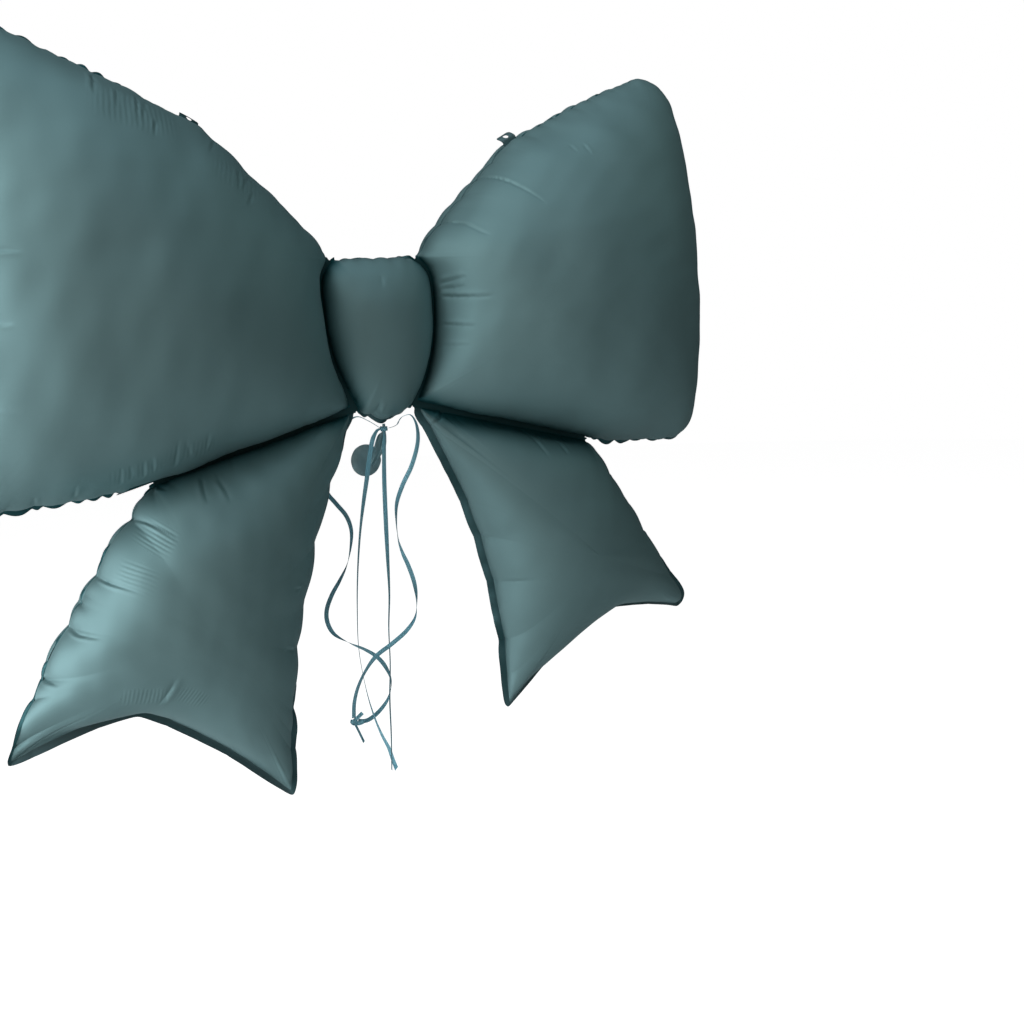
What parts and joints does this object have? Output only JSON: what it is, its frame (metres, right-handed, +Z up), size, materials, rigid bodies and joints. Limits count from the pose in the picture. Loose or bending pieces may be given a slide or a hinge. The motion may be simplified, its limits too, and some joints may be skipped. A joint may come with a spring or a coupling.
{
  "type": "bow foil balloon",
  "caption": "Gas-filled bow of satin film: two loops, a knot and two swallow-tailed tails welded together, with hang tabs, a tied filling neck and curling ribbons.",
  "frame": {"origin": "inside the knot, on the seam plane between the front and back film, where the floating bow is held up", "axes": "+X along the bow to the right loop, +Y from the front film to the back film, +Z up"},
  "size_m": [0.8948, 0.2404, 0.8097],
  "materials": {
    "foil": "satin metallised film, dusty teal",
    "seam_film": "flat film, dusty teal",
    "ribbon": "blue curling ribbon"
  },
  "bodies": {
    "knot": {"knot_front": "foil", "knot_back": "foil", "filling_neck": "seam_film", "filling_disc": "seam_film", "ribbon_tie": "ribbon", "ribbon_straight": "ribbon", "ribbon_curled": "ribbon", "ribbon_right": "ribbon", "ribbon_left": "ribbon", "ribbon_knot": "ribbon"},
    "left_loop": {"left_loop_front": "foil", "left_loop_back": "foil", "left_hang_tab": "seam_film"},
    "left_tail": {"left_tail_front": "foil", "left_tail_back": "foil"},
    "right_loop": {"right_loop_front": "foil", "right_loop_back": "foil", "right_hang_tab": "seam_film"},
    "right_tail": {"right_tail_front": "foil", "right_tail_back": "foil"}
  },
  "joints": [
    {"name": "left_loop_flex", "type": "hinge", "parent": "knot", "child": "left_loop", "pos_m": [-0.057, 0, 0], "axis": [0, 0, 1], "range_deg": [-6, 6], "stiffness_Nm_per_rad": 0.6},
    {"name": "left_tail_flex", "type": "hinge", "parent": "left_loop", "child": "left_tail", "pos_m": [-0.15025, 0, -0.11175], "axis": [-0.9717, 0, -0.236], "range_deg": [-12, 12], "stiffness_Nm_per_rad": 0.25},
    {"name": "right_loop_flex", "type": "hinge", "parent": "knot", "child": "right_loop", "pos_m": [0.057, 0, 0], "axis": [0, 0, 1], "range_deg": [-6, 6], "stiffness_Nm_per_rad": 0.6},
    {"name": "right_tail_flex", "type": "hinge", "parent": "right_loop", "child": "right_tail", "pos_m": [0.1575, 0, -0.11675], "axis": [0.9655, 0, -0.2603], "range_deg": [-12, 12], "stiffness_Nm_per_rad": 0.25}
  ]
}
